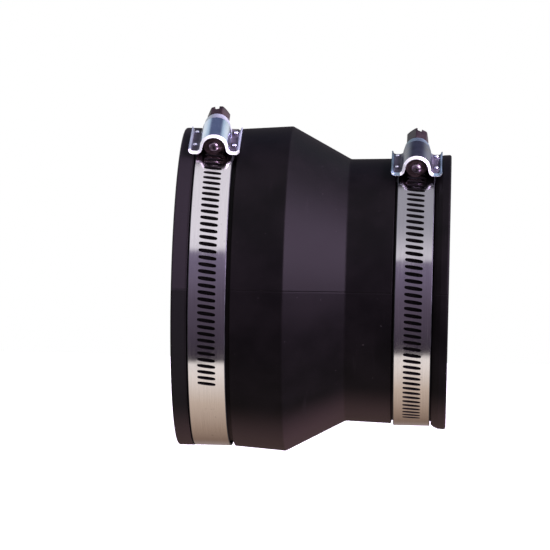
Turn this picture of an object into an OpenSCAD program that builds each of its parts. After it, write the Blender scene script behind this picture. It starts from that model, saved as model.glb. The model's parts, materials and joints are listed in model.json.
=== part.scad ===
// Flexible reducing pipe coupling: a moulded rubber sleeve that joins two plain pipes of
// different sizes, drawn tight on each by a worm-drive band clamp.
// The common axis is X. The large socket opens towards -X and the small one towards +X.
// The origin is the centre of the large socket's mouth, +Z is up, and the clamp screws
// sit above the sleeve, turned towards -Y. All sizes are in millimetres.

/* [Sleeve] */
// Length from end face to end face
sleeve_len = 105.2; // [104:0.2:112]
// Bore radius of the large socket
large_bore_r = 53.6; // [52:0.1:54.5]
// Bore radius of the small socket
small_bore_r = 44.5; // [42.5:0.1:45]
// Depth of the large socket, from its mouth to the pipe stop
large_socket_depth = 39; // [30:0.5:40]
// Depth of the small socket, from its mouth to the pipe stop
small_socket_depth = 37; // [30:0.5:38]
// Outer radius of the large end lip
large_lip_r = 62.85; // [62.4:0.05:62.9]
// Outer radius of the large body where the cone begins
large_body_r = 64.3; // [63:0.1:66]
// Outer radius of the small body where the cone ends
small_body_r = 51.8; // [51:0.1:52.4]
// Outer radius of the small body at its clamp groove
small_groove_r = 52.4; // [52.2:0.1:52.6]
// Outer radius of the small end lip
small_lip_r = 54.3; // [53.8:0.1:54.4]
// Width of the large end lip
large_lip_w = 6; // [4:0.1:7]
// Distance from the large end face to the start of the cone
cone_start = 42.4; // [40.5:0.1:46]
// Distance from the large end face to the end of the cone
cone_end = 65.7; // [60:0.1:66.5]
// Length of the small body between the cone and its clamp groove
small_body_len = 17.9; // [16:0.1:17.9]
// Height of the pipe stop above each bore
stop_h = 2.4; // [1:0.1:3]
// Width of the large clamp groove
large_groove_w = 16.5; // [15.4:0.1:17]
// Width of the small clamp groove
small_groove_w = 15.8; // [15.4:0.1:16.2]

/* [Clamp bands] */
// Outer radius of the large band's slotted half
large_band_r = 62.75; // [62.6:0.05:62.85]
// Outer radius of the small band's slotted half
small_band_r = 53.05; // [52.95:0.05:53.15]
// Width of the bands
band_w = 14.3; // [14.2:0.05:14.35]
// Thickness of the bands
band_t = 0.6; // [0.5:0.05:0.65]
// Distance between slots, which is also the lead of the worm screws
pitch = 2.65; // [2.5:0.05:2.8]
// Length of a slot across the band
slot_len = 6.8; // [5.5:0.1:7.5]
// Width of a slot along the band
slot_w = 1.45; // [1.15:0.05:1.5]
// Slant of the slots, which follows the worm's thread
slot_slant = 7; // [5.5:0.5:8]
// Number of slots in each band
slot_count = 55; // [52:1:58]

/* [Screw housings] */
// Tilt of the large clamp's housing from the top towards -Y
large_tilt = 29; // [0:0.5:60]
// Tilt of the small clamp's housing from the top towards -Y
small_tilt = 25.5; // [0:0.5:60]
// Length of the housing along the band
housing_len = 20.6; // [19.6:0.1:21]
// Overall width of the housing across its flanges
housing_w = 19.8; // [19.6:0.1:20.2]
// Thickness of the housing's sheet metal
housing_t = 1; // [0.9:0.05:1.1]
// Inner radius of the housing's dome
dome_r = 4.45; // [4.4:0.05:4.6]

/* [Worm screws] */
// Height of the screw's axis above the band
axis_h = 3.75; // [3.7:0.05:3.9]
// Outer radius of the thread
thread_r = 4.25; // [4.2:0.01:4.3]
// Radius of the core under the thread
core_r = 3.25; // [3:0.05:3.3]
// Width across the flats of the hexagonal head
head_af = 7.94; // [7.5:0.02:8]
// Length of the large screw's head
large_head_len = 7.4; // [5:0.1:10.5]
// Length of the small screw's head
small_head_len = 10.2; // [5:0.1:10.5]
// Turn of the large screw's head about its axis
large_head_turn = -8; // [-30:1:30]
// Turn of the small screw's head about its axis
small_head_turn = 22; // [-30:1:30]

/* [Hidden] */
$fn = 96;
LARGE = 0;
SMALL = 1;
FRONT = 0;
REAR = 1;

// Radial stack of a clamp, measured inwards from the outside of the slotted half
lap_gap = 0.08;      // running gap between the two halves of a band
saddle_t = 0.5;      // thickness of the saddle
floor_gap = 0.2;     // running gap between the saddle and the groove floor
anchored_in = band_t + lap_gap;
saddle_in = anchored_in + band_t;
stack_in = saddle_in + saddle_t;

// Clamp tables, read as TABLE[LARGE] or TABLE[SMALL]
BAND_R = [large_band_r, small_band_r];
TILT = [large_tilt, small_tilt];
HEAD_LEN = [large_head_len, small_head_len];
HEAD_TURN = [large_head_turn, small_head_turn];
DRIVE_SLOT_TURN = [-9, 10];  // turn of the screwdriver slot about the screw's axis
TAIL_SLOTS = [14, 8];      // slots on the tail side of the housing's middle
ANCHOR_END = [190, 190];   // angle where the anchored half stops
SLOTTED_END = [-185, -185];// angle where the slotted half stops, lapped over the other
ANCHOR_START = -7;         // angle where the anchored half starts, inside the housing
TAIL_MARGIN = 1.5;         // plain length beyond the last slot's middle, in slot pitches

// Grooves of the sleeve, and the clamps' middle planes in them
SIDE_GAP = [0.1, 0.15]; // gap between each saddle and its groove's side at the end lip
saddle_wall = 0.3;   // thickness of the saddle's side walls
edge_gap = 0.1;      // gap between the band's edge and a saddle's side wall
saddle_half_w = band_w / 2 + edge_gap + saddle_wall;
large_groove_x = large_lip_w;
small_groove_x = cone_end + small_body_len;
CLAMP_X = [
    large_groove_x + SIDE_GAP[0] + saddle_half_w,
    small_groove_x + small_groove_w - SIDE_GAP[1] - saddle_half_w
];

// Sleeve details
edge = 0.6;          // chamfer of the outer edges of both end faces
small_lip_bevel = [[0, 0.1], [1.2, 1.1], [2.7, 1.7]];  // run, and rise over the groove's edge
stop_w = 3;          // length of the small socket's pipe stop

// Housing section, heights above the outside of the band
flange_h = 1.1;      // underside of the flanges
fillet_r = 1.3;      // outer radius where the dome meets a flange
rim_r = 0.5;         // inner radius of the flange's turned-up rim
dome_out = dome_r + housing_t;
fillet_x = dome_out + fillet_r;
rim_x = housing_w / 2 - housing_t - rim_r;
trough_h = flange_h + housing_t;
rim_top = trough_h + rim_r + 0.3;
rear_wall_t = 1;

// Rivets and the saddle's ears
rivet_x = 7.55;
rivet_y = [-4.5, 6.5]; // front and rear
rivet_r = 0.5;
rivet_head_r = 0.95;
rivet_head_h = 0.95;
ear_t = 0.45;
ear_len = 2.2;
ear_x = [6.6, 8.65];
saddle_half_len = 8.8;

// Screw lengths along its axis; 0 is the housing's middle and + points to the head
neck_r = 2.5;
neck_gap = 0.1;
collar_r = 4.3;
collar_t = 1.2;
thread_end = housing_len / 2 - rear_wall_t - 0.25;
thread_start = -housing_len / 2 + 1.6;
tip_end = -housing_len / 2 + 0.5;
collar_start = housing_len / 2 + neck_gap;
head_start = collar_start + collar_t;
head_root = 0.4;     // depth that the head reaches into the collar
tip_len = 1;         // length of the cone at the screw's tip
head_chamfer = 0.7;  // length of the chamfer at the head's end
head_chamfer_in = 0.9;
corner_break = 0.1;  // depth that the head's long corners are turned down
drive_slot_w = 1.8;
drive_slot_depth = 2.6;
thread_steps = 28;   // sections in one turn of the thread
crest_half_w = 0.25;
root_half_w = 0.65;
root_sink = 0.3;     // depth that the thread's foot reaches into the core

// Angle of one slot pitch around the band, at the depth where the thread meets it
function slot_angle(c) = pitch / (BAND_R[c] - band_t / 2) * 180 / PI;

// Corners of the sleeve's half section as [distance along the axis, radius]
function sleeve_section() = let (
    large_floor = large_band_r - stack_in - floor_gap,
    small_floor = small_band_r - stack_in - floor_gap,
    large_groove_end = large_groove_x + large_groove_w,
    small_groove_end = small_groove_x + small_groove_w
) [
    [0, large_bore_r],
    [0, large_lip_r - edge],
    [edge, large_lip_r],
    [large_groove_x, large_lip_r],
    [large_groove_x, large_floor],
    [large_groove_end, large_floor],
    [large_groove_end, large_lip_r],
    [cone_start, large_body_r],
    [cone_end, small_body_r],
    [small_groove_x, small_groove_r],
    [small_groove_x, small_floor],
    [small_groove_end, small_floor],
    for (p = small_lip_bevel) [small_groove_end + p[0], small_groove_r + p[1]],
    [sleeve_len - edge, small_lip_r],
    [sleeve_len, small_lip_r - edge],
    [sleeve_len, small_bore_r],
    [sleeve_len - small_socket_depth, small_bore_r],
    [sleeve_len - small_socket_depth, small_bore_r - stop_h],
    [sleeve_len - small_socket_depth - stop_w, small_bore_r - stop_h],
    [large_socket_depth + stop_w, large_bore_r - stop_h],
    [large_socket_depth, large_bore_r - stop_h],
    [large_socket_depth, large_bore_r]
];

// Places a clamp's piece. The piece is drawn upright: the sleeve's axis is X, the housing
// is on top at +Z, and the screw's head points to +Y.
module on_clamp(c) {
    translate([CLAMP_X[c], 0, 0])
        rotate([TILT[c], 0, 0])
            children();
}

// Turns a piece drawn on top of a clamp round the axis, by an angle towards +Y
module turned(angle) {
    rotate([-angle, 0, 0])
        children();
}

// Curved strip between two radii, from one angle to another, measured from +Z towards +Y
module arc_strip(r_in, r_out, from, to, w) {
    rotate([0, -90, 0])
        rotate([0, 0, from])
            rotate_extrude(angle = to - from)
                translate([r_in, -w / 2])
                    square([r_out - r_in, w]);
}

// Ring quadrant of inner radius r and thickness t, in the quadrant that starts at an angle
module quarter_ring(r, t, start) {
    rotate(start)
        intersection() {
            difference() {
                circle(r + t);
                circle(r);
            }
            square(r + t);
        }
}

// Half section of the housing's sheet metal, from the dome's top to the rim, for x > 0
module housing_half_section() {
    translate([0, axis_h])
        quarter_ring(dome_r, housing_t, 0);
    translate([dome_r, trough_h + fillet_r])
        square([housing_t, axis_h - trough_h - fillet_r]);
    translate([fillet_x, trough_h + fillet_r])
        quarter_ring(fillet_r, housing_t, 180);
    translate([fillet_x, flange_h])
        square([rim_x - fillet_x, housing_t]);
    translate([rim_x, trough_h + rim_r])
        quarter_ring(rim_r, housing_t, 270);
    translate([rim_x + rim_r, trough_h + rim_r])
        square([housing_t, rim_top - trough_h - rim_r]);
}

// Wall that closes the head end of the dome, with an open-bottomed notch for the neck
module rear_wall_section() {
    difference() {
        union() {
            translate([0, axis_h])
                circle(dome_r + housing_t / 2);
            translate([-dome_r - housing_t / 2, flange_h])
                square([2 * dome_r + housing_t, axis_h - flange_h]);
        }
        translate([0, axis_h])
            circle(neck_r + neck_gap);
        translate([-neck_r - neck_gap, -dome_out])
            square([2 * (neck_r + neck_gap), axis_h + dome_out]);
        translate([-2 * dome_out, flange_h - 4 * dome_out])
            square(4 * dome_out);
    }
}

// Extrudes a section drawn in x and height along +Y, from one place to another
module along_y(from, to) {
    translate([0, to, 0])
        rotate([90, 0, 0])
            linear_extrude(to - from)
                children();
}

// Puts children at the four rivet places
module at_rivets() {
    for (side = [-1, 1], y = rivet_y)
        translate([side * rivet_x, y, 0])
            children();
}

// Helical thread as one sweep of a trapezoid round +Y. A crest passes straight below
// the axis at y = 0, where it meets the slot in the middle of the housing.
module thread() {
    steps = floor((thread_end - root_half_w - thread_start) / pitch * thread_steps);
    function turn(i) = 180 + 360 * (thread_start / pitch + i / thread_steps);
    function place(i) = thread_start + i * pitch / thread_steps;
    section = [
        [core_r - root_sink, -root_half_w], [thread_r, -crest_half_w],
        [thread_r, crest_half_w], [core_r - root_sink, root_half_w]
    ];
    points = [
        for (i = [0 : steps], p = section)
            [p[0] * sin(turn(i)), place(i) + p[1], p[0] * cos(turn(i))]
    ];
    sides = [
        for (i = [0 : steps - 1], k = [0 : 3])
            let (a = 4 * i + k, b = 4 * i + (k + 1) % 4)
                each [[a, b, a + 4], [b, b + 4, a + 4]]
    ];
    last = 4 * steps;
    caps = [[3, 2, 1, 0], [last, last + 1, last + 2, last + 3]];
    polyhedron(points, concat(sides, caps), convexity = 10);
}

// Cylinder along +Y between two places on the screw's axis, with end radii
module shaft(from, to, r1, r2) {
    translate([0, from, 0])
        rotate([-90, 0, 0])
            cylinder(h = to - from, r1 = r1, r2 = r2);
}

module sleeve() {
    color([0.11, 0.10, 0.12])
        rotate([0, 90, 0])
            rotate_extrude()
                polygon([for (p = sleeve_section()) [p[1], p[0]]]);
}

// Half of the band that is fixed in the housing; it runs round the back under the sleeve
module band_anchored_half(c) {
    color([0.72, 0.71, 0.72])
        on_clamp(c)
            arc_strip(BAND_R[c] - saddle_in, BAND_R[c] - anchored_in,
                      ANCHOR_START, ANCHOR_END[c], band_w);
}

// Half of the band that the screw draws through the housing, tail end included
module band_slotted_half(c) {
    tail_end = (TAIL_SLOTS[c] + TAIL_MARGIN) * slot_angle(c);
    color([0.78, 0.77, 0.76])
        on_clamp(c)
            difference() {
                arc_strip(BAND_R[c] - band_t, BAND_R[c], SLOTTED_END[c], tail_end, band_w);
                for (i = [0 : slot_count - 1])
                    turned((TAIL_SLOTS[c] - i) * slot_angle(c))
                        translate([0, 0, BAND_R[c]])
                            rotate([0, 0, -slot_slant])
                                cube([slot_len, slot_w, 3 * band_t], center = true);
            }
}

// Plate under the band ends, with four legs that rise past the band to riveted ears
module saddle(c) {
    r = BAND_R[c];
    half_angle = asin(saddle_half_len / r);
    color([0.60, 0.61, 0.64])
        on_clamp(c)
            difference() {
                union() {
                    arc_strip(r - stack_in, r - saddle_in, -half_angle, half_angle,
                              2 * saddle_half_w);
                    for (side = [0, 1], y = rivet_y)
                        mirror([side, 0, 0])
                            translate([0, y - ear_len / 2, r]) {
                                translate([saddle_half_w - saddle_wall, 0, -stack_in])
                                    cube([saddle_wall, ear_len, stack_in + flange_h]);
                                translate([ear_x[0], 0, flange_h - ear_t])
                                    cube([ear_x[1] - ear_x[0], ear_len, ear_t]);
                            }
                }
                at_rivets()
                    translate([0, 0, r + flange_h - ear_t])
                        cylinder(h = 2, r = rivet_r);
            }
}

// Domed cover over the screw, with a trough-shaped riveted flange on each side
module screw_housing(c) {
    half = housing_len / 2;
    color([0.64, 0.66, 0.72])
        on_clamp(c)
            translate([0, 0, BAND_R[c]])
                difference() {
                    union() {
                        along_y(-half, half)
                            union() {
                                housing_half_section();
                                mirror([1, 0])
                                    housing_half_section();
                            }
                        along_y(half - rear_wall_t, half)
                            rear_wall_section();
                    }
                    at_rivets()
                        cylinder(h = 4, r = rivet_r);
                }
}

// Slotted hexagon-head screw with a collar, a neck and a coarse thread
module worm_screw(c) {
    head_end = head_start + HEAD_LEN[c];
    corner_r = head_af / 2 / cos(30);
    turned_r = corner_r - corner_break;
    color([0.45, 0.44, 0.48])
        on_clamp(c)
            translate([0, 0, BAND_R[c] + axis_h]) {
                thread();
                shaft(tip_end + tip_len, thread_end, core_r, core_r);
                shaft(tip_end, tip_end + tip_len, core_r - tip_len, core_r);
                shaft(thread_end, collar_start, neck_r, neck_r);
                shaft(collar_start, head_start, collar_r, collar_r);
                difference() {
                    intersection() {
                        rotate([-90, HEAD_TURN[c], 0])
                            translate([0, 0, head_start - head_root])
                                cylinder(h = HEAD_LEN[c] + head_root, r = corner_r, $fn = 6);
                        union() {
                            shaft(head_start - head_root, head_end - head_chamfer,
                                  turned_r, turned_r);
                            shaft(head_end - head_chamfer, head_end,
                                  turned_r, turned_r - head_chamfer_in);
                        }
                    }
                    rotate([0, DRIVE_SLOT_TURN[c], 0])
                        translate([-drive_slot_w / 2, head_end - drive_slot_depth, -corner_r])
                            cube([drive_slot_w, 2 * drive_slot_depth, 2 * corner_r]);
                }
            }
}

// Domed rivet through a flange of the housing and an ear of the saddle
module rivet(c, side, end) {
    dome = (rivet_head_r ^ 2 + rivet_head_h ^ 2) / (2 * rivet_head_h);
    color([0.82, 0.82, 0.84])
        on_clamp(c)
            translate([side * rivet_x, rivet_y[end], BAND_R[c]]) {
                translate([0, 0, flange_h - ear_t])
                    cylinder(h = ear_t + housing_t, r = rivet_r);
                intersection() {
                    translate([0, 0, trough_h + rivet_head_h - dome])
                        sphere(dome);
                    translate([0, 0, trough_h])
                        cylinder(h = rivet_head_h + 1, r = rivet_head_r);
                }
            }
}

sleeve();
band_anchored_half(LARGE);  // large_band_anchored_half
band_slotted_half(LARGE);  // large_band_slotted_half
saddle(LARGE);  // large_saddle
screw_housing(LARGE);  // large_screw_housing
worm_screw(LARGE);  // large_worm_screw
rivet(LARGE, -1, FRONT);  // large_rivet_front_left
rivet(LARGE, 1, FRONT);  // large_rivet_front_right
rivet(LARGE, -1, REAR);  // large_rivet_rear_left
rivet(LARGE, 1, REAR);  // large_rivet_rear_right
band_anchored_half(SMALL);  // small_band_anchored_half
band_slotted_half(SMALL);  // small_band_slotted_half
saddle(SMALL);  // small_saddle
screw_housing(SMALL);  // small_screw_housing
worm_screw(SMALL);  // small_worm_screw
rivet(SMALL, -1, FRONT);  // small_rivet_front_left
rivet(SMALL, 1, FRONT);  // small_rivet_front_right
rivet(SMALL, -1, REAR);  // small_rivet_rear_left
rivet(SMALL, 1, REAR);  // small_rivet_rear_right
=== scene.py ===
"""Looks of a flexible reducing pipe coupling: a moulded rubber sleeve with two worm-drive clamps.

Shapes are worked out in millimetres and become metres when a piece is made. A clamp's
pieces are drawn upright: the sleeve's axis is X, the housing is on top at +Z and the
screw's head points to +Y. Angles round a clamp run from +Z towards +Y.
"""

import json
import math

import bmesh
import bpy
from mathutils import Matrix, Vector

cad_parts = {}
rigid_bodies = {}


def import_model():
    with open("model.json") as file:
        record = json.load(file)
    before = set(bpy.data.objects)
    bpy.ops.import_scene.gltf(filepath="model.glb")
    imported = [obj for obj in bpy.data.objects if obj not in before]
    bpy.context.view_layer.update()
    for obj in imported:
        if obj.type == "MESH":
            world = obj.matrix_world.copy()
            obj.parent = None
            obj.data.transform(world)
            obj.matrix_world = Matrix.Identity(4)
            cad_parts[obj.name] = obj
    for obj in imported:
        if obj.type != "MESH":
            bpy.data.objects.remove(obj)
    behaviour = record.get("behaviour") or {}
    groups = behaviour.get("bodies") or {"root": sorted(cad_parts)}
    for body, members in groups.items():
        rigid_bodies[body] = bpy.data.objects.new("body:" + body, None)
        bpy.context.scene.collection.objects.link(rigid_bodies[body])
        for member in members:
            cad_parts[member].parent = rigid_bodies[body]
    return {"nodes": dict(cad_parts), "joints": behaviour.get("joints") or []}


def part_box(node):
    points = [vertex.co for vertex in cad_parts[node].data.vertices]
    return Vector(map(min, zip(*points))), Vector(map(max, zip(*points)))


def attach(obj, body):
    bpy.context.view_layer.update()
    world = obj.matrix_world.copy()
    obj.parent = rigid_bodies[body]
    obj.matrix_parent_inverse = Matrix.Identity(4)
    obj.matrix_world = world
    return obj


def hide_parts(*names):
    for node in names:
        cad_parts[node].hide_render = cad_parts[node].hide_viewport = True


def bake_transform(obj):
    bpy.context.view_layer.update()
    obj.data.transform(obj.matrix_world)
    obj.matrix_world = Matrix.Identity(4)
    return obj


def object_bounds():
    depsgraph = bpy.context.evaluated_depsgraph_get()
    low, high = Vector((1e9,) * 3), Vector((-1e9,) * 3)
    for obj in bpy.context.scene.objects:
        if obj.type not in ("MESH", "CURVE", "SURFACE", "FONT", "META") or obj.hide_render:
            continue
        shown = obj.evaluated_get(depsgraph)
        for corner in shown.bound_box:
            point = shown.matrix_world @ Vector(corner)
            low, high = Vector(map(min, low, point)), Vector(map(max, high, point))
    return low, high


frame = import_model()
cad_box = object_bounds()

MM = 0.001
JOINTS = {j["name"]: j for j in frame["joints"]}
CLAMPS = ("large", "small")

# Clamp band
BAND_W = 14.3
BAND_T = 0.6
PITCH = 2.65
SLOT_LEN = 6.8
SLOT_W = 1.45
SLOT_SLANT = math.radians(7)
SLOT_COUNT = 55
TAIL_SLOTS = {"large": 14, "small": 8}
LAP_DEPTH = 0.68
STACK_DEPTH = 1.98
ANCHORED_FROM = -367.0
STEP_IN_FROM = -180.0
BACK_SEAM = {"large": -220.5, "small": -225.5}
SLOT_MARGIN = 0.9
SLOT_EDGE = 0.05
TAIL_CORNER = 3.2
TAIL_END_SHARE = 0.56

# Screw housing, with heights measured from the outside of the band
HOUSING_LEN = 20.6
SHEET_T = 1.0
CAP_STEPS = 4
FRONT_CHAMFER = 0.85
REAR_SLOPE = 4.4
DOME_R = 4.95
AXIS_H = 3.75
FLANGE_H = 1.6
DOME_SLOPE = 80
FILLET_R = 1.8
RIM_X = 8.2
RIM_R = 1.2
RIM_TOP = 2.9
RIVET_X = 7.55
RIVET_Y = {"front": -4.5, "rear": 6.5}
RIVET_SEAT = 2.1
RIVET_HEAD_R = 0.95
RIVET_HEAD_H = 0.95

# Worm screw, along its own axis from the housing's middle towards the head
THREAD_R = 4.25
CORE_R = 3.25
NECK_R = 2.5
COLLAR_R = 4.3
SCREW_SIDES = 72
THREAD_STEPS = 190
TIP_R = 2.0
TIP_LEN = 1.3
CENTRE_HOLE = [(0.75, 0.28), (0.12, 0.34)]
COLLAR_ROUND = 0.3
HEAD_AF = 7.94
HEAD_CHAMFER = 0.75
HEAD_CHAMFER_RATE = 1.25
HEAD_END = {"large": 19.0, "small": 21.8}
HEAD_TURN = {"large": -8.0, "small": 22.0}
DRIVE_SLOT_W = 1.8
DRIVE_SLOT_DEPTH = 2.6
DRIVE_SLOT_TURN = {"large": -9.0, "small": 10.0}


# ---------------------------------------------------------------- frame facts


def clamp_place(name):
    """The matrix that takes an upright clamp, in millimetres, to its place in metres."""
    x, y, z = JOINTS[f"{name}_screw_turn"]["pos_m"]
    tilt = math.atan2(-y, z)
    return Matrix.Translation((x, 0, 0)) @ Matrix.Rotation(tilt, 4, "X") @ Matrix.Scale(MM, 4)


def band_radius(name):
    """Outer radius of a clamp's slotted band, in millimetres."""
    x, y, z = JOINTS[f"{name}_screw_turn"]["pos_m"]
    return math.hypot(y, z) / MM - AXIS_H


# ---------------------------------------------------------------- mesh tools


class Skin:
    """Faces gathered by the places of their corners. Corners at one place are one vertex."""

    def __init__(self):
        self.ids = {}
        self.points = []
        self.faces = []
        self.uvs = []

    def vertex(self, p):
        key = (round(p[0], 4), round(p[1], 4), round(p[2], 4))
        if key not in self.ids:
            self.ids[key] = len(self.points)
            self.points.append(p)
        return self.ids[key]

    def face(self, corners, uvs=None):
        ids = [self.vertex(p) for p in corners]
        uvs = uvs or [(0.0, 0.0)] * len(ids)
        kept = [i for i in range(len(ids)) if ids[i] != ids[i - 1]]
        if len(kept) > 2:
            self.faces.append([ids[i] for i in kept])
            self.uvs.append([uvs[i] for i in kept])

    def between(self, ring_a, ring_b, closed=True, uv_a=None, uv_b=None):
        """Quads between two rows of points of the same length."""
        n = len(ring_a)
        for i in range(n if closed else n - 1):
            j = (i + 1) % n
            uvs = [uv_a[i], uv_a[j], uv_b[j], uv_b[i]] if uv_a else None
            self.face([ring_a[i], ring_a[j], ring_b[j], ring_b[i]], uvs)

    def piece(self, name, place, material, sharp_angle=40):
        """Makes the mesh object, put in its place in metres."""
        mesh = bpy.data.meshes.new(name)
        mesh.from_pydata([place @ Vector(p) for p in self.points], [], self.faces)
        layer = mesh.uv_layers.new(name="strip")
        flat = [c for face in self.uvs for uv in face for c in uv]
        layer.uv.foreach_set("vector", flat)
        facing = bmesh.new()
        facing.from_mesh(mesh)
        bmesh.ops.recalc_face_normals(facing, faces=facing.faces)
        facing.to_mesh(mesh)
        facing.free()
        mesh.polygons.foreach_set("use_smooth", [True] * len(mesh.polygons))
        mesh.set_sharp_from_angle(angle=math.radians(sharp_angle))
        mesh.materials.append(material)
        mesh.validate()
        mesh.update()
        piece = bpy.data.objects.new(name, mesh)
        bpy.context.scene.collection.objects.link(piece)
        return piece


def weighted_normals(piece):
    """Lets large faces set the shading, so that narrow rounded edges don't smear it."""
    modifier = piece.modifiers.new("weighted normals", "WEIGHTED_NORMAL")
    modifier.keep_sharp = True
    return piece


def arc(cx, cy, r, a0, a1, steps):
    """Points of an arc between two angles in degrees, both ends included."""
    angles = [math.radians(a0 + (a1 - a0) * i / steps) for i in range(steps + 1)]
    return [(cx + r * math.cos(a), cy + r * math.sin(a)) for a in angles]


def rounded(corners, steps=5):
    """A closed outline of (x, y, corner radius) points with each corner made an arc."""
    outline = []
    n = len(corners)
    for i, (x, y, r) in enumerate(corners):
        here = Vector((x, y))
        before = Vector(corners[i - 1][:2]) - here
        after = Vector(corners[(i + 1) % n][:2]) - here
        if r <= 0:
            outline.append((x, y))
            continue
        half = before.angle(after) / 2
        reach = min(r / math.tan(half), 0.45 * before.length, 0.45 * after.length)
        start = here + before.normalized() * reach
        end = here + after.normalized() * reach
        for k in range(steps + 1):
            t = k / steps
            p = start * (1 - t) ** 2 + here * 2 * t * (1 - t) + end * t**2
            outline.append((p.x, p.y))
    return outline


def smoothstep(t):
    t = max(0.0, min(1.0, t))
    return t * t * (3 - 2 * t)


# ---------------------------------------------------------------- node tools


class Nodes:
    """Short calls for building one material's or world's node tree."""

    def __init__(self, tree):
        self.tree = tree
        self.tree.nodes.clear()

    def add(self, kind, inputs=None, **settings):
        node = self.tree.nodes.new(kind)
        for key, value in settings.items():
            setattr(node, key, value)
        for key, value in (inputs or {}).items():
            self.put(node.inputs[key], value)
        return node

    def put(self, socket, value):
        if isinstance(value, bpy.types.NodeSocket):
            self.tree.links.new(value, socket)
        else:
            socket.default_value = value

    def noise(self, vector, scale, detail=4.0, roughness=0.55, distortion=0.0):
        values = {
            "Vector": vector,
            "Scale": scale,
            "Detail": detail,
            "Roughness": roughness,
            "Distortion": distortion,
        }
        return self.add("ShaderNodeTexNoise", values).outputs["Fac"]

    def stretch(self, vector, scale):
        return self.add("ShaderNodeMapping", {"Vector": vector, "Scale": scale}).outputs["Vector"]

    def span(self, value, low, high, to_low=0.0, to_high=1.0):
        values = {
            "Value": value,
            "From Min": low,
            "From Max": high,
            "To Min": to_low,
            "To Max": to_high,
        }
        node = self.add("ShaderNodeMapRange", values, interpolation_type="SMOOTHSTEP")
        return node.outputs["Result"]

    def math(self, operation, a, b=0.0):
        node = self.add("ShaderNodeMath", operation=operation)
        self.put(node.inputs[0], a)
        self.put(node.inputs[1], b)
        return node.outputs["Value"]

    def mix(self, factor, a, b):
        node = self.add("ShaderNodeMix", data_type="RGBA")
        self.put(node.inputs["Factor"], factor)
        self.put(node.inputs[6], a)
        self.put(node.inputs[7], b)
        return node.outputs[2]

    def bump(self, height, strength, distance, normal=None):
        values = {"Height": height, "Strength": strength, "Distance": distance}
        if normal is not None:
            values["Normal"] = normal
        return self.add("ShaderNodeBump", values).outputs["Normal"]

    def surface(self, shader):
        output = self.add("ShaderNodeOutputMaterial")
        self.tree.links.new(shader.outputs[0], output.inputs["Surface"])


def new_material(name):
    material = bpy.data.materials.new(name)
    material.use_nodes = True
    return material, Nodes(material.node_tree)


def grey(v):
    return (v, v, v, 1.0)


# ---------------------------------------------------------------- materials


def rubber_material():
    """Black moulded rubber: faint grain, mottling, scuffs and dust on two mould halves, with
    painted warm light towards the bottom and a paler lip at the large end, its upper half with
    painted light."""
    material, n = new_material("moulded_rubber")
    place = n.add("ShaderNodeTexCoord").outputs["Object"]
    axes = n.add("ShaderNodeSeparateXYZ", {"Vector": place}).outputs
    upper = n.span(axes["Z"], -0.0019, -0.0008)
    # How far the round surface faces down at a place: 1 at the bottom
    squares = [n.math("MULTIPLY", axes[k], axes[k]) for k in "YZ"]
    radius = n.math("SQRT", n.math("ADD", *squares))
    down = n.math("MULTIPLY", n.math("DIVIDE", axes["Z"], radius), -1.0)
    mottle = n.noise(place, 45, 4, 0.55)
    grain = n.noise(place, 2600, 2)
    ripple = n.noise(n.stretch(place, (1, 0.25, 0.25)), 300, 3)
    scuffs = n.noise(n.stretch(place, (1, 0.12, 0.12)), 260, 3, 0.7)
    dust = n.noise(place, 700, 1)
    cloudy = n.span(mottle, 0.30, 0.70)
    clean = n.mix(cloudy, (0.0017, 0.0014, 0.0017, 1), (0.0040, 0.0032, 0.0038, 1))
    # The large end's lip is paler; its upper half is paler still, which is painted light from
    # above
    pale_lip_painted_top_light = n.mix(upper, (0.0070, 0.0066, 0.0072, 1), (0.0150, 0.0125, 0.0155, 1))
    lip = n.mix(n.span(axes["X"], 0.0050, 0.0064, 0.8, 0.0), clean, pale_lip_painted_top_light)
    # Painted warm light from below: the more a surface faces down, the paler and warmer it is
    base = n.mix(n.span(down, 0.70, 1.04), lip, (0.046, 0.030, 0.031, 1))
    scuffed = n.mix(n.span(scuffs, 0.62, 0.82, 0, 0.25), base, (0.016, 0.013, 0.015, 1))
    dusty = n.mix(n.span(dust, 0.76, 0.84, 0, 0.5), scuffed, (0.045, 0.040, 0.042, 1))
    sheen = n.math("ADD", n.span(mottle, 0.3, 0.7, 0.42, 0.48), n.span(upper, 0, 1, 0.08, 0.0))
    soft = n.bump(ripple, 0.15, 0.00010)
    normal = n.bump(grain, 0.25, 0.00005, soft)
    values = {
        "Base Color": dusty,
        "Roughness": sheen,
        "Normal": normal,
        "Specular IOR Level": n.span(upper, 0, 1, 0.050, 0.076),
    }
    n.surface(n.add("ShaderNodeBsdfPrincipled", values))
    return material


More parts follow.
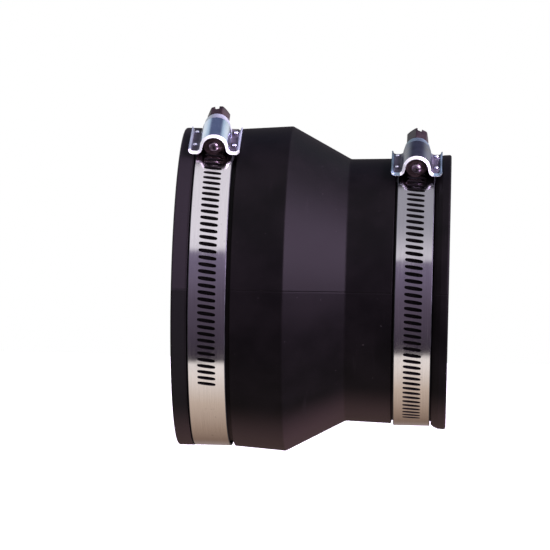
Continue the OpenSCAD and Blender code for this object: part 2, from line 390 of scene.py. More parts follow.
def brushed_material(name, tone, dark_tone, rough, streak, top_shade):
    """Stainless strip with fine lines along its length, smears and tarnish, and painted shade
    that may darken it towards the top."""
    material, n = new_material(name)
    strip = n.add("ShaderNodeUVMap", uv_map="strip").outputs["UV"]
    place = n.add("ShaderNodeTexCoord").outputs["Object"]
    lines = n.noise(n.stretch(strip, (0.05, 9, 1)), 1.0, 5, 0.7)
    smears = n.noise(place, 120, 4, 0.6)
    spots = n.noise(place, 520, 2, 0.5)
    clean = n.mix(n.span(lines, 0.30, 0.70), dark_tone, tone)
    tarnish = n.mix(n.span(smears, 0.55, 0.80, 0, 0.35), clean, dark_tone)
    spotted = n.mix(n.span(spots, 0.68, 0.78, 0, 0.30), tarnish, grey(0.32))
    height = n.add("ShaderNodeSeparateXYZ", {"Vector": place}).outputs["Z"]
    # Painted shade: the strip darkens towards the top
    top_shaded = n.mix(n.span(height, 0.004, 0.027, 0, top_shade), spotted, (0.10, 0.11, 0.14, 1))
    fine = n.span(lines, 0.3, 0.7, rough, rough + 0.07)
    gloss = n.math("ADD", fine, n.span(smears, 0.4, 0.8, 0, 0.08))
    normal = n.bump(lines, streak, 0.00003)
    shader = n.add(
        "ShaderNodeBsdfPrincipled",
        {"Base Color": top_shaded, "Roughness": gloss, "Normal": normal, "Metallic": 1.0},
    )
    n.surface(shader)
    return material


def pressed_material(name, tone, dark_tone, rough, grime, metallic=1.0, specular=0.5):
    """Pressed or turned metal: cloudy finish, small dents and grime in blotches."""
    material, n = new_material(name)
    place = n.add("ShaderNodeTexCoord").outputs["Object"]
    clouds = n.noise(place, 160, 4, 0.5)
    drawn = n.noise(n.stretch(place, (6, 1, 1)), 300, 4, 0.6)
    pits = n.noise(place, 1500, 2)
    tone_mix = n.mix(n.span(clouds, 0.30, 0.70), dark_tone, tone)
    dirty = n.mix(n.span(drawn, 0.56, 0.78, 0, grime), tone_mix, (0.10, 0.085, 0.09, 1))
    gloss = n.span(clouds, 0.3, 0.7, rough, rough + 0.10)
    soft = n.bump(clouds, 0.06, 0.0002)
    normal = n.bump(pits, 0.12, 0.00004, soft)
    values = {
        "Base Color": dirty,
        "Roughness": gloss,
        "Normal": normal,
        "Metallic": metallic,
        "Specular IOR Level": specular,
    }
    n.surface(n.add("ShaderNodeBsdfPrincipled", values))
    return material


def floor_material():
    """Plain pale floor, nearly as bright as the background."""
    material, n = new_material("pale_floor")
    place = n.add("ShaderNodeTexCoord").outputs["Object"]
    tone = n.mix(n.noise(place, 9, 3), grey(0.84), grey(0.88))
    shader = n.add("ShaderNodeBsdfPrincipled", {"Base Color": tone, "Roughness": 0.8})
    shader.inputs["Emission Color"].default_value = (1.0, 1.0, 1.0, 1.0)
    shader.inputs["Emission Strength"].default_value = 0.45
    n.surface(shader)
    return material


# ---------------------------------------------------------------- sleeve


def sleeve_outline():
    """Half section of the sleeve as (distance along the axis, radius, corner radius)."""
    lo, hi = (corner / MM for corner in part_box("sleeve"))
    length = hi.x
    large_floor = band_radius("large") - STACK_DEPTH
    small_floor = band_radius("small") - STACK_DEPTH
    return [
        (0, 53.6, 0.5),
        (0, 62.85, 0.9),
        (6.06, 62.85, 0.15),
        (6.06, large_floor, 0.5),
        (22.4, large_floor, 0.5),
        (22.4, 62.85, 0.3),
        (42.4, 64.3, 1.6),
        (65.7, 51.8, 2.2),
        (83.7, 52.4, 0.3),
        (83.7, small_floor, 0.5),
        (99.3, small_floor, 0.5),
        (99.3, 52.5, 0.15),
        (100.6, 53.5, 0.5),
        (102.1, 54.1, 0.5),
        (length, 54.3, 0.9),
        (length, 44.5, 0.5),
        (length - 37, 44.5, 0.4),
        (length - 37, 42.1, 0.6),
        (length - 40, 42.1, 1.5),
        (42, 51.2, 1.5),
        (39, 51.2, 0.6),
        (39, 53.6, 0.4),
    ]


def sleeve(material):
    """The sleeve, with the thin line that the mould's parting leaves on both sides."""
    # Half width, depth and angle of the line, and the radius past which the sleeve has it
    line_half, line_depth, line_angle, outside_r = 0.42, 0.14, 88.8, 51.5
    steps, fine_step, fine_reach = 240, 0.1, 1.0

    def from_line(angle):
        """Degrees to the nearer of the two parting lines."""
        return abs((angle - line_angle + 90) % 180 - 90)

    outline = rounded(sleeve_outline())
    plain = [360 * i / steps for i in range(steps)]
    near = [line_angle + turn + k * fine_step for turn in (0, 180) for k in range(-6, 7)]
    clear = [a for a in plain if from_line(a) > fine_reach]
    angles = sorted(clear + near)

    def point(x, r, angle):
        a = math.radians(angle)
        off = r * math.radians(from_line(angle))
        sunk = line_depth * smoothstep(1 - off / line_half) if r > outside_r else 0
        return (x, (r - sunk) * math.sin(a), (r - sunk) * math.cos(a))

    skin = Skin()
    rings = [[point(x, r, a) for a in angles] for x, r in outline]
    for i, ring in enumerate(rings):
        skin.between(ring, rings[i - 1])
    piece = skin.piece("rubber_sleeve", Matrix.Scale(MM, 4), material, 45)
    return weighted_normals(piece)


# ---------------------------------------------------------------- clamp band


def band_edge():
    """Half of the strip's cross-section from its slotted middle out to the rounded edge, as
    (distance from the middle, depth below the outer face), on both faces."""
    half, t = BAND_W / 2, BAND_T
    block = SLOT_LEN / 2 + SLOT_MARGIN
    edge = [(half + x, t / 2 - y) for x, y in arc(-t / 2, 0, t / 2, 90, -90, 8)]
    return [(block, 0.0)] + edge + [(block, t)]


def slot_ring(grow):
    """The slot's outline, widest at its middle and grown by a margin, as points that pair
    with cell_ring's."""
    half_l, half_w = SLOT_LEN / 2 + grow, SLOT_W / 2 + grow
    corner = 0.38
    side = [(half_l - corner, 0.74), (0.58 * half_l, 0.94), (0.2 * half_l, 1.0)]
    points = [(s * half_w, v) for v, s in side] + [(s * half_w, -v) for v, s in reversed(side)]
    end = [(0.50, 0.28), (0.20, 0.0), (-0.20, 0.0), (-0.50, 0.28)]
    points += [(s * half_w, -half_l + d * corner) for s, d in end]
    points += [(-u, -v) for u, v in points]
    return [(u - v * math.tan(SLOT_SLANT), v) for u, v in points]


def cell_ring():
    """The outline of one pitch of the strip's middle, in the same order as slot_ring."""
    half_u, half_v = PITCH / 2, SLOT_LEN / 2 + SLOT_MARGIN
    side = [half_v, 0.6 * half_v, 0.2 * half_v]
    side = side + [-v for v in reversed(side)]
    points = [(half_u, v) for v in side]
    points += [(s * half_u, -half_v) for s in (0.6, 0.2, -0.2, -0.6)]
    return points + [(-u, -v) for u, v in points]


def strip(name, clamp, first, last, slots, level, materials, tail=False):
    """A length of clamp band, from an angle down to a lower one. slots are the middles of
    its slotted pitches, level gives how deep the strip lies at an angle, and materials are
    for the faces, the walls of the slots, which are painted shade, and the rounded edges, also
    painted shade."""
    radius = band_radius(clamp)
    middle_r = radius - BAND_T / 2
    pitch_angle = math.degrees(PITCH / middle_r)
    skin = Skin()
    painted_shade, edges = [], []

    def narrowing(angle):
        """Share of the width that the rounded corners of the tail's end leave."""
        if not tail:
            return 1.0
        off = math.radians(first - angle) * middle_r
        if off >= TAIL_CORNER:
            return 1.0
        bulge = math.sqrt(max(0.0, 1 - (1 - off / TAIL_CORNER) ** 2))
        return TAIL_END_SHARE + (1 - TAIL_END_SHARE) * bulge

    def point(angle, v, depth):
        r = radius - depth - level(angle)
        a = math.radians(angle)
        return (v * narrowing(angle), r * math.sin(a), r * math.cos(a))

    def uv(angle, v):
        return (math.radians(angle) * middle_r, v)

    def grid(a0, a1, line):
        """Faces along one angle step for a line of (v, depth) points."""
        for (v0, d0), (v1, d1) in zip(line, line[1:]):
            if d0 != d1:
                edges.append(len(skin.faces))
            skin.face(
                [point(a0, v0, d0), point(a0, v1, d1), point(a1, v1, d1), point(a1, v0, d0)],
                [uv(a0, v0 - d0), uv(a0, v1 - d1), uv(a1, v1 - d1), uv(a1, v0 - d0)],
            )

    margin = band_edge()
    block_v = margin[0][0]
    lines_v = [share * block_v for share in (1, 0.6, 0.2, -0.2, -0.6, -1)]
    offsets = [-0.5, -0.3, -0.1, 0.1, 0.3, 0.5]
    count = round((first - last) / pitch_angle)
    pitch_here = (first - last) / count
    cell, slot_rim, slot_wall = cell_ring(), slot_ring(SLOT_EDGE), slot_ring(0.0)
    for k in range(count):
        mid = first - (k + 0.5) * pitch_here
        across = [mid + s * pitch_here for s in offsets]
        for a0, a1 in zip(across, across[1:]):
            grid(a1, a0, margin)
            grid(a0, a1, [(-v, d) for v, d in margin])
        slotted = any(abs(mid - s) < 0.3 * pitch_here for s in slots)
        if not slotted:
            for a0, a1 in zip(across, across[1:]):
                grid(a0, a1, [(v, 0.0) for v in lines_v])
                grid(a1, a0, [(v, BAND_T) for v in lines_v])
            continue

        def on(ring, depth, mid=mid):
            spots = [(mid + math.degrees(u / middle_r), v) for u, v in ring]
            return [point(a, v, depth) for a, v in spots], [uv(a, v) for a, v in spots]

        rows = [
            on(cell, 0.0),
            on(slot_rim, 0.0),
            on(slot_wall, SLOT_EDGE),
            on(slot_wall, BAND_T - SLOT_EDGE),
            on(slot_rim, BAND_T),
            on(cell, BAND_T),
        ]
        for i, ((p0, uv0), (p1, uv1)) in enumerate(zip(rows, rows[1:])):
            before = len(skin.faces)
            skin.between(p0, p1, True, uv0, uv1)
            if 0 < i < len(rows) - 2:
                painted_shade += range(before, len(skin.faces))

    # Flat caps close the two ends
    for angle, order in ((first, 1), (last, -1)):
        right = [point(angle, v, d) for v, d in margin]
        left = [point(angle, -v, d) for v, d in margin]
        top = [point(angle, v, 0.0) for v in lines_v[1:-1]]
        bottom = [point(angle, v, BAND_T) for v in reversed(lines_v[1:-1])]
        loop = right[::-1] + top + left + bottom
        skin.face(loop[::order])
    piece = skin.piece(name, clamp_place(clamp), materials[0], 38)
    # Painted shade: the slot walls and the strip's rounded edges take dark materials
    for slot, faces in ((1, painted_shade), (2, edges)):
        piece.data.materials.append(materials[slot])
        for index in faces:
            piece.data.polygons[index].material_index = slot
    return weighted_normals(piece)


def clamp_band(clamp, materials):
    """The strip in three pieces: its slotted front with the tail, which the screw draws, the
    stretch under the sleeve, which is attached to no body, and the anchored back."""
    radius = band_radius(clamp)
    pitch_angle = math.degrees(PITCH / (radius - BAND_T / 2))
    slots = [(TAIL_SLOTS[clamp] - i) * pitch_angle for i in range(SLOT_COUNT)]
    tail_end = slots[0] + 1.5 * pitch_angle
    front_seam = slots[-1] - 1.5 * pitch_angle
    back_seam = BACK_SEAM[clamp]

    def level(angle):
        share = (STEP_IN_FROM - angle) / (STEP_IN_FROM - back_seam)
        return LAP_DEPTH * smoothstep(share)

    front = strip(
        f"{clamp}_band_front",
        clamp,
        tail_end,
        front_seam,
        slots,
        level,
        materials,
        tail=True,
    )
    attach(front, f"{clamp}_slotted_band")
    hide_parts(f"{clamp}_band_slotted_half")
    back = strip(f"{clamp}_band_back", clamp, back_seam, ANCHORED_FROM, [], level, materials)
    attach(back, f"{clamp}_clamp")
    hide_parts(f"{clamp}_band_anchored_half")
    under = strip(f"{clamp}_band_under", clamp, front_seam, back_seam, [], level, materials)

    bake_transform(under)


# ---------------------------------------------------------------- screw housing


def sheet_line():
    """Middle line of the housing's sheet from rim to rim, as (point, outward normal)."""
    half = []
    for a in range(0, DOME_SLOPE + 1, 5):
        n = Vector((math.sin(math.radians(a)), math.cos(math.radians(a))))
        half.append((Vector((0, AXIS_H)) + n * DOME_R, n))
    # The fillet is as far out as makes the sloping side tangent to it and to the dome
    fillet_h = FLANGE_H + FILLET_R
    reach = DOME_R + FILLET_R - (fillet_h - AXIS_H) * n.y
    fillet = Vector((reach / n.x, fillet_h))
    for a in range(DOME_SLOPE, -1, -8):
        n = Vector((math.sin(math.radians(a)), math.cos(math.radians(a))))
        half.append((fillet - n * FILLET_R, n))
    rim = Vector((RIM_X, FLANGE_H + RIM_R))
    for a in range(0, 91, 9):
        n = Vector((-math.sin(math.radians(a)), math.cos(math.radians(a))))
        half.append((rim - n * RIM_R, n))
    top = Vector((RIM_X + RIM_R, RIM_TOP))
    half.append((top, Vector((-1, 0))))
    mirror = [(Vector((-p.x, p.y)), Vector((-n.x, n.y))) for p, n in half[1:]]
    return mirror[::-1] + half


def sheet_outline(line, out, back):
    """Closed outline of the sheet, reaching out on one side of its middle line and back on
    the other, with its two ends rounded."""

    def cap(p, n, along):
        """The end of the sheet, from its outer side to its inner one."""
        middle, half, reach = (out - back) / 2, (out + back) / 2, SHEET_T / 2
        points = []
        for k in range(2 * CAP_STEPS + 2):
            a = math.pi * k / (2 * CAP_STEPS + 1)
            across = n * (middle + half * math.cos(a))
            points.append(p + across + along * reach * (math.sin(a) - 1))
        return points

    start_along = (line[0][0] - line[1][0]).normalized()
    end_along = (line[-1][0] - line[-2][0]).normalized()
    outer = [p + n * out for p, n in line[1:-1]]
    inner = [p - n * back for p, n in line[1:-1]]
    end = cap(*line[-1], end_along)
    start = cap(*line[0], start_along)
    return outer + end + inner[::-1] + start[::-1]


def housing(clamp, materials):
    """The pressed cover: dome, riveted troughs and upturned rims, with a ground front edge
    and a rear end that thins towards the screw's collar. materials are for the outside, the
    front edge with a painted highlight, the troughs and the inside with painted shade, and the
    rims and the rear end."""
    outside, bare_and_highlight, painted_shade, inside, rim = range(5)
    half_len, half_t = HOUSING_LEN / 2, SHEET_T / 2
    # Distances from the middle where the troughs, the flanges' edges and the rims begin
    trough_from, flange_from, rim_from = DOME_R + 0.95, DOME_R + 1.3, RIM_X + 0.55
    # The small clamp's front edge takes its darker rim steel at the flanges, which is painted
    # shade
    shaded_front = clamp == "small"
    line = sheet_line()
    base = band_radius(clamp)
    # Loops of the section as (place along the screw, half thickness outwards, and inwards)
    loops = [
        (-half_len, -half_t + 0.12, half_t - 0.06),
        (-half_len + 0.06, -half_t + 0.24, half_t),
        (-half_len + FRONT_CHAMFER, half_t - 0.04, half_t),
        (-half_len + FRONT_CHAMFER + 0.12, half_t, half_t),
        (half_len - REAR_SLOPE - 0.15, half_t, half_t),
        (half_len - REAR_SLOPE, half_t - 0.03, half_t),
        (half_len - 0.25, half_t - 0.50, half_t),
        (half_len, half_t - 0.75, half_t - 0.05),
    ]
    chamfer_rows, rear_row = 3, 5
    rows = []
    for y, out, back in loops:
        rows.append([(p.x, y, base + p.y) for p in sheet_outline(line, out, back)])
    skin = Skin()
    kinds = []
    count = len(rows[0])
    sides = len(line) - 2

    def kind_of(row, across, outer_side):
        """The material of a face, by its row along the screw and its place across it."""
        if row < chamfer_rows:
            return rim if shaded_front and across > flange_from else bare_and_highlight
        if across > rim_from:
            return rim
        if not outer_side:
            return inside
        if across > trough_from:
            return painted_shade
        return rim if row == rear_row else outside

    for row, (a, b) in enumerate(zip(rows, rows[1:])):
        for i in range(count):
            j = (i + 1) % count
            kind = kind_of(row, abs(a[i][0] + a[j][0]) / 2, i < sides - 1)
            before = len(skin.faces)
            skin.face([a[i], a[j], b[j], b[i]])
            kinds += [kind] * (len(skin.faces) - before)
    # The two ends are closed by quads between facing points of the sheet's two sides
    caps = CAP_STEPS + 1
    for loop in (rows[0], rows[-1]):
        outer = loop[-caps:] + loop[: sides + caps]
        inner = loop[sides + caps : -caps][::-1]
        for i in range(len(outer) - 1):
            before = len(skin.faces)
            skin.face([outer[i], outer[i + 1], inner[i + 1], inner[i]])
            kinds += [bare_and_highlight] * (len(skin.faces) - before)
    piece = skin.piece(f"{clamp}_housing", clamp_place(clamp), materials[outside], 35)
    for extra in materials[1:]:
        piece.data.materials.append(extra)
    piece.data.polygons.foreach_set("material_index", kinds)
    weighted_normals(piece)
    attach(piece, f"{clamp}_clamp")
    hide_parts(f"{clamp}_screw_housing")
    return piece


def housing_end_wall(clamp, material):
    """The wall at the head end of the dome, with an open notch for the screw's neck."""
    base, inner, notch = band_radius(clamp), DOME_R - SHEET_T / 2 + 0.03, NECK_R + 0.12
    low, steps = 1.3, 24
    y0, y1 = HOUSING_LEN / 2 - 1.0, HOUSING_LEN / 2 - 0.12

    def arch(r):
        """Half round about the screw's axis, with straight legs down to the wall's foot."""
        top = [(-x, AXIS_H + y) for x, y in arc(0, 0, r, 0, 180, steps)]
        return [(-r, low)] + top + [(r, low)]

    outer_line, inner_line = arch(inner), arch(notch)
    skin = Skin()
    outline = outer_line + inner_line[::-1]
    near = [(x, y0, base + z) for x, z in outline]
    far = [(x, y1, base + z) for x, z in outline]
    skin.between(near, far)
    n = len(outer_line)
    for ring, flip in ((near, 1), (far, -1)):
        a, b = ring[:n], ring[n:][::-1]
        for i in range(n - 1):
            skin.face([a[i], a[i + 1], b[i + 1], b[i]][::flip])
    piece = skin.piece(f"{clamp}_housing_end_wall", clamp_place(clamp), material, 40)
    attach(piece, f"{clamp}_clamp")
    return piece


# ---------------------------------------------------------------- worm screw


def hexagon_radius(angle, turn):
    """Distance from the axis to the head's flats in one direction."""
    off = (math.degrees(angle) - turn + 30) % 60 - 30
    return HEAD_AF / 2 / math.cos(math.radians(off))


def thread_profile(share):
    """Height of the thread, 0 to 1, at a share of one pitch from the middle of its crest."""
    off = abs((share + 0.5) % 1.0 - 0.5)
    return smoothstep((0.27 - off) / 0.17)


def screw(clamp, material, tip_material):
    """The worm screw as one turned skin: round tip with a centre hole, thread, neck, collar
    and hexagon head."""
    rear = HOUSING_LEN / 2
    tip = -rear + 0.5
    thread_from, thread_to = -rear + 1.6, rear - 1.25
    collar_from, collar_to = rear + 0.1, rear + 1.3
    head_end = HEAD_END[clamp]
    corner = HEAD_AF / 2 / math.cos(math.radians(30)) - 0.1
    thread_fade_in, thread_fade_out, neck_edge = 0.8, 0.5, 0.06
    angles = [2 * math.pi * i / SCREW_SIDES for i in range(SCREW_SIDES)]

    def thread(y, a):
        share = y / PITCH - (a - math.pi) / (2 * math.pi)
        start, stop = (y - thread_from) / thread_fade_in, (thread_to - y) / thread_fade_out
        ends = smoothstep(start) * smoothstep(stop)
        return CORE_R + (THREAD_R - CORE_R) * thread_profile(share) * ends

    def head(y, a):
        drop = max(0.0, y - (head_end - HEAD_CHAMFER))
        return min(hexagon_radius(a, HEAD_TURN[clamp]), corner - HEAD_CHAMFER_RATE * drop)

    # Rings as (place along the axis, radius by angle)
    rings = [(tip + depth, lambda a, r=r: r) for depth, r in CENTRE_HOLE]
    for x, y in arc(0, 0, 1, 80, 0, 8):
        rings.append((tip + TIP_LEN * (1 - y), lambda a, r=x: TIP_R * r + 0.0001))
    tip_faces = SCREW_SIDES * (len(rings) - 1)
    rings.append((tip + 1.9, lambda a: CORE_R - 0.15))
    rings.append((tip + 2.1, lambda a: CORE_R))
    start = tip + 2.2
    for i in range(THREAD_STEPS + 1):
        y = start + (thread_to - start) * i / THREAD_STEPS
        rings.append((y, lambda a, y=y: thread(y, a)))
    rings.append((thread_to + neck_edge, lambda a: NECK_R))
    rings.append((collar_from - 0.001, lambda a: NECK_R))
    for x, y in arc(0, 0, COLLAR_ROUND, 180, 90, 4):
        rings.append((collar_from + COLLAR_ROUND + x, lambda a, r=y: COLLAR_R - COLLAR_ROUND + r))
    for x, y in arc(0, 0, COLLAR_ROUND, 90, 0, 4):
        rings.append((collar_to - COLLAR_ROUND + x, lambda a, r=y: COLLAR_R - COLLAR_ROUND + r))
    rings.append((collar_to + 0.001, lambda a: head(collar_to, a) - 0.02))
    for y in (collar_to + 0.06, collar_to + 2, collar_to + 4, head_end - 1.6):
        rings.append((y, lambda a: head(collar_to, a)))
    chamfer_steps = 12
    for i in range(chamfer_steps + 1):
        y = head_end - HEAD_CHAMFER + HEAD_CHAMFER * i / chamfer_steps
        rings.append((y, lambda a, y=y: head(y, a)))
    end_r = corner - HEAD_CHAMFER_RATE * HEAD_CHAMFER
    rings.append((head_end + 0.05, lambda a: end_r - 0.35))
    axis_z = band_radius(clamp) + AXIS_H
    skin = Skin()
    loops = []
    for y, radius in rings:
        loop = [(radius(a) * math.sin(a), y, axis_z + radius(a) * math.cos(a)) for a in angles]
        loops.append(loop)
    for a, b in zip(loops, loops[1:]):
        skin.between(a, b)
    skin.face(loops[0][::-1])
    skin.face(loops[-1])
    piece = skin.piece(f"{clamp}_screw", clamp_place(clamp), material, 32)
    piece.data.materials.append(tip_material)
    for index in range(tip_faces):
        piece.data.polygons[index].material_index = 1
    cut_drive_slot(piece, clamp)
    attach(piece, f"{clamp}_screw")
    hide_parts(f"{clamp}_worm_screw")
    return piece


def cut_drive_slot(piece, clamp):
    """Cuts the screwdriver slot across the end of the head."""
    half_w, reach = DRIVE_SLOT_W / 2, 6.0
    low, high = HEAD_END[clamp] - DRIVE_SLOT_DEPTH, HEAD_END[clamp] + 2
    section = [(-half_w, high), (-half_w, low + 0.3), (-half_w + 0.3, low)]
    section += [(-x, y) for x, y in reversed(section)]
    skin = Skin()
    front = [(x, y, -reach) for x, y in section]
    back = [(x, y, reach) for x, y in section]
    skin.between(front, back)
    skin.face(front[::-1])
    skin.face(back)
    axis = Matrix.Translation((0, 0, band_radius(clamp) + AXIS_H))
    turn = Matrix.Rotation(math.radians(DRIVE_SLOT_TURN[clamp]), 4, "Y")
    place = clamp_place(clamp) @ axis @ turn
    cutter = skin.piece("drive_slot_cutter", place, piece.data.materials[0])
    modifier = piece.modifiers.new("slot", "BOOLEAN")
    modifier.operation = "DIFFERENCE"
    modifier.solver = "EXACT"
    modifier.object = cutter
    bpy.context.view_layer.update()
    evaluated = piece.evaluated_get(bpy.context.evaluated_depsgraph_get())
    cut = bpy.data.meshes.new_from_object(evaluated)
    piece.modifiers.clear()
    piece.data = cut
    cut.set_sharp_from_angle(angle=math.radians(32))
    bpy.data.objects.remove(cutter)


# ---------------------------------------------------------------- rivets and saddle


def rivet(clamp, side, end, material):
    """Domed rivet head with its shank down to the saddle's ear."""
    sides = 32
    angles = [2 * math.pi * i / sides for i in range(sides)]
    edge_r, edge_h = RIVET_HEAD_R, 0.15
    dome = [
        (edge_r * math.cos(a), edge_h + (RIVET_HEAD_H - edge_h) * math.sin(a))
        for a in (0, 0.3, 0.6, 0.9, 1.15, 1.4)
    ]
    profile = [(0.5, -1.45), (0.5, 0.0), (edge_r - 0.05, 0.0), (edge_r, 0.05)] + dome
    base = band_radius(clamp) + RIVET_SEAT
    x0, y0 = (1 if side == "right" else -1) * RIVET_X, RIVET_Y[end]
    skin = Skin()
    rings = []
    for r, z in profile:
        rings.append([(x0 + r * math.cos(a), y0 + r * math.sin(a), base + z) for a in angles])
    for a, b in zip(rings, rings[1:]):
        skin.between(a, b)
    top = (x0, y0, base + RIVET_HEAD_H)
    for i in range(sides):
        skin.face([rings[-1][i], rings[-1][(i + 1) % sides], top])
    skin.face(rings[0][::-1])
    piece = skin.piece(f"{clamp}_rivet_{end}_{side}_head", clamp_place(clamp), material, 50)
    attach(piece, f"{clamp}_clamp")
    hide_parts(f"{clamp}_rivet_{end}_{side}")


def finish_cad_node(node, material):
    """Keeps a CAD part's shape, with a new material and slightly broken edges."""
    part = frame["nodes"][node]
    part.data.materials.clear()
    part.data.materials.append(material)
    bevel = part.modifiers.new("broken edges", "BEVEL")
    bevel.width = 0.08 * MM
    bevel.segments = 2
    bevel.limit_method = "ANGLE"


# ---------------------------------------------------------------- studio


def studio_world():
    """Soft studio light by direction, with a plain white background for the camera. Straight
    ahead it has a pale panel overhead, dark above the back, a dark room in front and a warm
    reflector below; the right side has a strong panel, and the left side a weak one."""
    world = bpy.data.worlds.new("studio")
    bpy.context.scene.world = world
    world.use_nodes = True
    n = Nodes(world.node_tree)
    toward = n.add("ShaderNodeTexCoord").outputs["Generated"]
    axes = n.add("ShaderNodeSeparateXYZ", {"Vector": toward})
    forward = n.math("MULTIPLY", axes.outputs["Y"], -1.0)
    lift = n.math("ARCTAN2", axes.outputs["Z"], forward)
    share = n.add(
        "ShaderNodeMapRange",
        {"Value": lift, "From Min": -math.pi, "From Max": math.pi, "To Min": 0.0, "To Max": 1.0},
    ).outputs["Result"]

    def ramp(stops):
        node = n.add("ShaderNodeValToRGB", {"Fac": share})
        elements = node.color_ramp.elements
        while len(elements) < len(stops):
            elements.new(0.5)
        for element, (angle, colour) in zip(elements, stops):
            element.position = (angle + 180) / 360
            element.color = (*colour, 1.0)
        return node.outputs["Color"]

    # Angles are from straight towards the camera, up over the top to the back
    below = [
        (-148, (0.22, 0.150, 0.115)),
        (-125, (0.36, 0.265, 0.205)),
        (-93, (0.60, 0.485, 0.400)),
        (-57, (0.98, 0.93, 0.90)),
        (-55, (0.035, 0.027, 0.040)),
        (-10, (0.10, 0.08, 0.12)),
        (25, (0.19, 0.16, 0.25)),
        (27, (0.86, 0.84, 0.92)),
        (98, (0.82, 0.80, 0.88)),
        (101, (0.03, 0.02, 0.03)),
        (111, (0.04, 0.04, 0.06)),
    ]
    middle = ramp(
        [(-180, (0.40, 0.36, 0.36)), (-165, (0.30, 0.24, 0.22))]
        + below
        + [
            (118, (0.15, 0.18, 0.30)),
            (134, (0.12, 0.14, 0.23)),
            (150, (0.14, 0.13, 0.15)),
            (168, (0.24, 0.21, 0.23)),
        ]
    )
    flank = ramp(
        [(-180, (0.60, 0.55, 0.50)), (-165, (0.45, 0.40, 0.36))]
        + below
        + [(126, (0.16, 0.19, 0.32)), (136, (0.62, 0.76, 0.86)), (152, (0.95, 1.00, 1.00))]
    )
    right = ramp(
        [
            (-180, (0.90, 1.00, 1.00)),
            (-140, (0.60, 0.62, 0.64)),
            (-62, (0.90, 0.85, 0.85)),
            (-56, (0.22, 0.19, 0.22)),
            (-25, (0.12, 0.10, 0.14)),
            (-8, (4.90, 3.80, 5.50)),
            (2, (13.6, 10.4, 15.3)),
            (60, (14.8, 11.2, 16.8)),
            (84, (5.20, 4.20, 6.00)),
            (104, (2.20, 1.80, 2.40)),
            (130, (1.00, 1.00, 1.10)),
            (160, (0.85, 1.00, 1.05)),
        ]
    )
    left = ramp(
        [
            (-180, (1.00, 1.00, 1.00)),
            (-140, (0.60, 0.60, 0.60)),
            (-60, (0.40, 0.36, 0.38)),
            (0, (0.12, 0.10, 0.14)),
            (40, (0.60, 0.56, 0.60)),
            (110, (0.80, 0.80, 0.85)),
            (160, (1.00, 1.00, 1.00)),
        ]
    )
    across = axes.outputs["X"]
    light = n.mix(n.span(n.math("ABSOLUTE", across), 0.25, 0.40), middle, flank)
    light = n.mix(n.span(across, 0.42, 0.66), light, right)
    light = n.mix(n.span(across, 0.91, 0.97), light, grey(0.20))
    light = n.mix(n.span(across, -0.60, -0.85), light, left)
    seen = n.add("ShaderNodeLightPath").outputs["Is Camera Ray"]
    shown = n.mix(seen, light, grey(1.0))
    background = n.add("ShaderNodeBackground", {"Color": shown, "Strength": 1.0})
    output = n.add("ShaderNodeOutputWorld")
    n.tree.links.new(background.outputs[0], output.inputs["Surface"])


def floor():
    """A wide pale floor below the coupling. It isn't a light, so nothing reflects it."""
    drop, half = 0.05, 4.0
    z = cad_box[0].z - drop
    mesh = bpy.data.meshes.new("floor")
    corners = [(-half, -half, z), (half, -half, z), (half, half, z), (-half, half, z)]
    mesh.from_pydata(corners, [], [(0, 1, 2, 3)])
    mesh.materials.append(floor_material())
    plane = bpy.data.objects.new("floor", mesh)
    bpy.context.scene.collection.objects.link(plane)
    plane.visible_glossy = False
    plane.visible_diffuse = False
    plane.visible_shadow = False


def front_panel():
    """A wide soft panel in front, below the coupling's height. Mirrors don't show it, so it
    only lifts the matt surfaces that face down and forward."""
    spot, aim = Vector((0.0, -1.5, -0.35)), Vector((0.05, 0, 0))
    lamp = bpy.data.lights.new("front_panel", "AREA")
    lamp.shape = "RECTANGLE"
    lamp.size, lamp.size_y = 1.6, 1.0
    lamp.energy = 24.0
    lamp.color = (1.0, 0.96, 0.98)
    panel = bpy.data.objects.new("front_panel", lamp)
    bpy.context.scene.collection.objects.link(panel)
    turn = (aim - spot).to_track_quat("-Z", "Y").to_matrix().to_4x4()
    panel.matrix_world = Matrix.Translation(spot) @ turn
    panel.visible_glossy = False


def camera():
    """A long lens a little to the right of the coupling's middle, level with its axis."""
    eye = Vector((0.1018, -1.30, 0.0))
    target = Vector((0.0363, 0.0, 0.0052))
    roll = math.radians(1.35)
    sensor, width_seen = 36.0, 0.21822
    data = bpy.data.cameras.new("camera")
    data.sensor_width = sensor
    data.lens = sensor * (target - eye).length / width_seen
    cam = bpy.data.objects.new("camera", data)
    bpy.context.scene.collection.objects.link(cam)
    look = (target - eye).to_track_quat("-Z", "Y").to_matrix().to_4x4()
    cam.matrix_world = Matrix.Translation(eye) @ look @ Matrix.Rotation(roll, 4, "Z")
    bpy.context.scene.camera = cam


# ---------------------------------------------------------------- assembly

bpy.context.scene.view_settings.view_transform = "Standard"
camera()
studio_world()
floor()
front_panel()

rubber = rubber_material()
band_steel = {
    "large": brushed_material(
        "brushed_band_steel", (0.86, 0.83, 0.83, 1), (0.72, 0.69, 0.69, 1), 0.08, 0.06, 0.0
    ),
    # The small clamp's band has painted shade darkening its top
    "small": brushed_material(
        "shaded_band_steel", (0.86, 0.83, 0.83, 1), (0.72, 0.69, 0.69, 1), 0.09, 0.06, 0.65
    ),
}
cover_steel = {
    "large": pressed_material(
        "pressed_cover_steel", (0.64, 0.70, 0.84, 1), (0.54, 0.59, 0.72, 1), 0.12, 0.20
    ),
    # The small clamp's copy is much darker: painted shade, as its end gets less light
    "small": pressed_material(
        "shaded_cover_steel", (0.14, 0.15, 0.20, 1), (0.09, 0.08, 0.11, 1), 0.26, 0.30
    ),
}
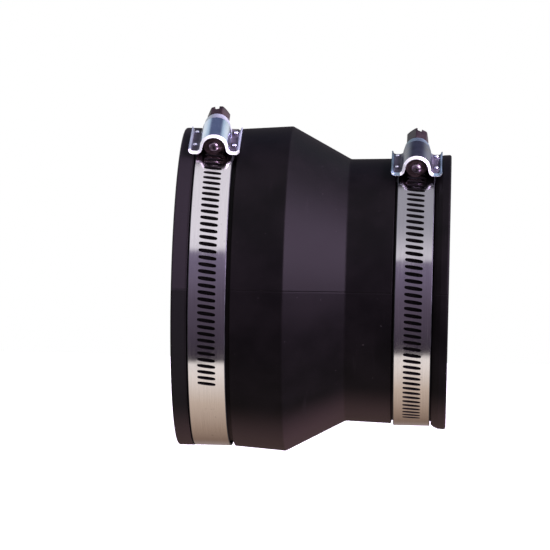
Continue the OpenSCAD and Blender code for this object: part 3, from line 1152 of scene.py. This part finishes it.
# The housing's front edge: bare metal, made near-white and half matt as a painted highlight
bare_edge_with_highlight = pressed_material(
    "bare_sheared_edge_painted_highlight", (0.96, 0.97, 1.0, 1), (0.88, 0.90, 0.94, 1), 0.32, 0.05, 0.45
)
rim_steel = {
    "large": pressed_material(
        "rim_steel", (0.62, 0.68, 0.74, 1), (0.46, 0.52, 0.58, 1), 0.30, 0.15, 0.6
    ),
    # The small clamp's copy is much darker: painted shade, as its end gets less light
    "small": pressed_material(
        "shaded_rim_steel", (0.19, 0.29, 0.34, 1), (0.11, 0.16, 0.19, 1), 0.30, 0.30, 0.6
    ),
}
# Painted shade in the housing's troughs, round the rivets
shaded_trough = pressed_material(
    "shaded_trough", (0.14, 0.13, 0.17, 1), (0.024, 0.013, 0.020, 1), 0.42, 0.10, 0.6
)
# Painted shade inside the housing and on its end wall: a dark maroon
shaded_inside = pressed_material(
    "shaded_inside", (0.085, 0.055, 0.066, 1), (0.050, 0.030, 0.040, 1), 0.42, 0.10, 0.7
)
# Painted shade in the slots: near-black, matt walls
slot_shade = pressed_material(
    "slot_shade", (0.014, 0.011, 0.014, 1), (0.006, 0.005, 0.006, 1), 0.65, 0.0, 0.0, 0.08
)
# Painted shade on the strip's rounded edges: dark, so they show no bright lines
strip_edge_shade = pressed_material(
    "shaded_strip_edge", (0.075, 0.080, 0.090, 1), (0.045, 0.045, 0.050, 1), 0.30, 0.0, 0.8
)
saddle_steel = pressed_material(
    "saddle_steel", (0.45, 0.45, 0.48, 1), (0.30, 0.30, 0.33, 1), 0.28, 0.40
)
# Dark plated screw; its darkness also stands for painted shade on the thread inside the housing
screw_steel = pressed_material(
    "dark_screw_steel_and_shade", (0.060, 0.040, 0.044, 1), (0.030, 0.018, 0.021, 1), 0.40, 0.20, 0.6, 0.15
)
tip_steel = pressed_material(
    "worn_tip_steel", (0.44, 0.38, 0.42, 1), (0.28, 0.23, 0.26, 1), 0.28, 0.40
)
rivet_steel = pressed_material(
    "bright_rivet_steel", (0.84, 0.86, 0.95, 1), (0.72, 0.74, 0.84, 1), 0.16, 0.15
)

body = sleeve(rubber)
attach(body, "sleeve")
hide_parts("sleeve")

for clamp_name in CLAMPS:
    clamp_band(clamp_name, [band_steel[clamp_name], slot_shade, strip_edge_shade])
    cover = [cover_steel[clamp_name], bare_edge_with_highlight, shaded_trough, shaded_inside]
    housing(clamp_name, cover + [rim_steel[clamp_name]])
    housing_end_wall(clamp_name, shaded_inside)
    screw(clamp_name, screw_steel, tip_steel)
    finish_cad_node(f"{clamp_name}_saddle", saddle_steel)
    for rivet_end in ("front", "rear"):
        for rivet_side in ("left", "right"):
            rivet(clamp_name, rivet_side, rivet_end, rivet_steel)

bpy.context.view_layer.update()
